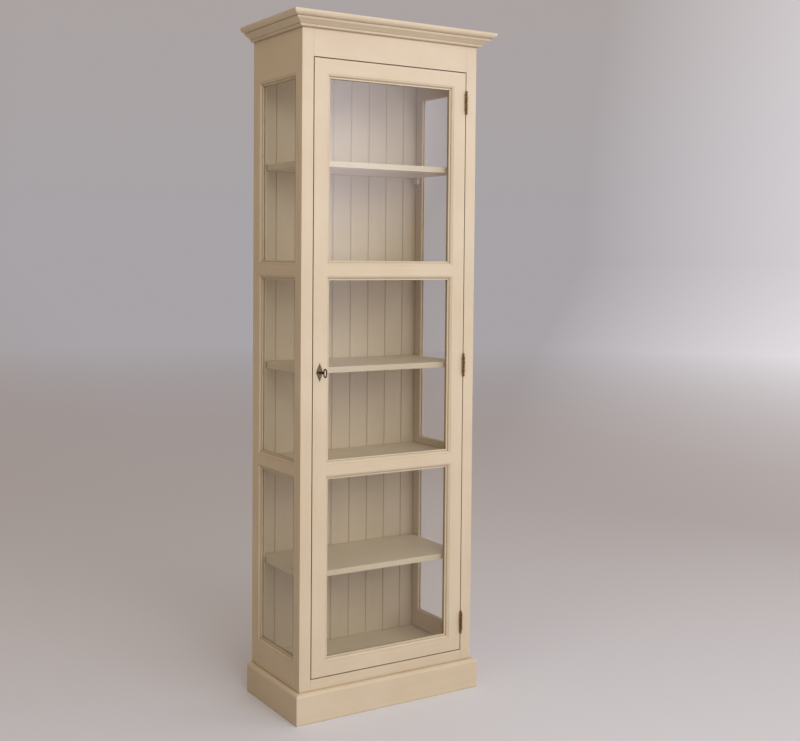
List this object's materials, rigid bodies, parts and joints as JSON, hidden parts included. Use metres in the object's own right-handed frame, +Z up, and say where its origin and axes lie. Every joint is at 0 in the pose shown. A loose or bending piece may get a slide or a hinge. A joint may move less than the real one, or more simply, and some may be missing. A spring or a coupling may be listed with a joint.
{
  "type": "display cabinet",
  "caption": "Tall narrow glazed display cabinet with one hinged inset door, glazed sides, moulded cornice, plinth, boarded back, shelves and a door lock.",
  "frame": {"origin": "centre of the overall bounding box in plan, at the floor", "axes": "+Z up, +X to the right seen from the front, +Y from the front to the back; the door faces -Y"},
  "size_m": [0.684, 0.355, 2],
  "materials": {
    "painted_wood": "satin paint, warm grey beige",
    "glass": "clear",
    "aged_brass": "aged, dark",
    "lock_steel": "plain"
  },
  "bodies": {
    "carcass": {"back_boards": "painted_wood", "base_rail": "painted_wood", "case_screws": "aged_brass", "ceiling_board": "painted_wood", "cornice_front": "painted_wood", "cornice_left": "painted_wood", "cornice_right": "painted_wood", "face_stile_left": "painted_wood", "face_stile_right": "painted_wood", "fixed_shelf_lower": "painted_wood", "fixed_shelf_upper": "painted_wood", "floor_board": "painted_wood", "frieze_rail": "painted_wood", "hinge_frame_leaves": "aged_brass", "hinge_pins": "aged_brass", "plinth_front": "painted_wood", "plinth_left": "painted_wood", "plinth_right": "painted_wood", "shelf_blocks": "painted_wood", "side_beads_left": "painted_wood", "side_beads_right": "painted_wood", "side_bottom_rail_left": "painted_wood", "side_bottom_rail_right": "painted_wood", "side_front_stile_left": "painted_wood", "side_front_stile_right": "painted_wood", "side_lower_rail_left": "painted_wood", "side_lower_rail_right": "painted_wood", "side_panes_left": "glass", "side_panes_right": "glass", "side_rear_stile_left": "painted_wood", "side_rear_stile_right": "painted_wood", "side_top_rail_left": "painted_wood", "side_top_rail_right": "painted_wood", "side_upper_rail_left": "painted_wood", "side_upper_rail_right": "painted_wood", "strike_plate": "aged_brass", "top_board": "painted_wood"},
    "door": {"door_beads": "painted_wood", "door_bottom_rail": "painted_wood", "door_lower_rail": "painted_wood", "door_pane_lower": "glass", "door_pane_middle": "glass", "door_pane_upper": "glass", "door_screws": "aged_brass", "door_stile_left": "painted_wood", "door_stile_right": "painted_wood", "door_top_rail": "painted_wood", "door_upper_rail": "painted_wood", "escutcheon": "aged_brass", "hinge_door_leaves": "aged_brass", "lock_case": "lock_steel"},
    "key": {"key": "aged_brass"},
    "lock_bolt": {"lock_bolt": "lock_steel"},
    "loose_shelf_lower": {"loose_shelf_lower": "painted_wood"},
    "loose_shelf_middle": {"loose_shelf_middle": "painted_wood"},
    "loose_shelf_upper": {"loose_shelf_upper": "painted_wood"}
  },
  "joints": [
    {"name": "door_hinge", "type": "hinge", "parent": "carcass", "child": "door", "pos_m": [0.2595, -0.1371, 0.9973], "axis": [0, 0, 1], "range_deg": [0, 180]},
    {"name": "key_turn", "type": "hinge", "parent": "door", "child": "key", "pos_m": [-0.2368, -0.1325, 0.9968], "axis": [0, -1, 0], "range_deg": [0, 360]},
    {"name": "bolt_throw", "type": "slide", "parent": "door", "child": "lock_bolt", "axis": [-1, 0, 0], "range_m": [0, 0.009]},
    {"name": "shelf_lift_lower", "type": "slide", "parent": "carcass", "child": "loose_shelf_lower", "axis": [0, 0, 1], "range_m": [0, 0.025]},
    {"name": "shelf_lift_middle", "type": "slide", "parent": "carcass", "child": "loose_shelf_middle", "axis": [0, 0, 1], "range_m": [0, 0.025]},
    {"name": "shelf_lift_upper", "type": "slide", "parent": "carcass", "child": "loose_shelf_upper", "axis": [0, 0, 1], "range_m": [0, 0.025]}
  ],
  "couplings": [
    {"joint": "bolt_throw", "follows": "key_turn", "m_per_rad": 0.001432}
  ]
}
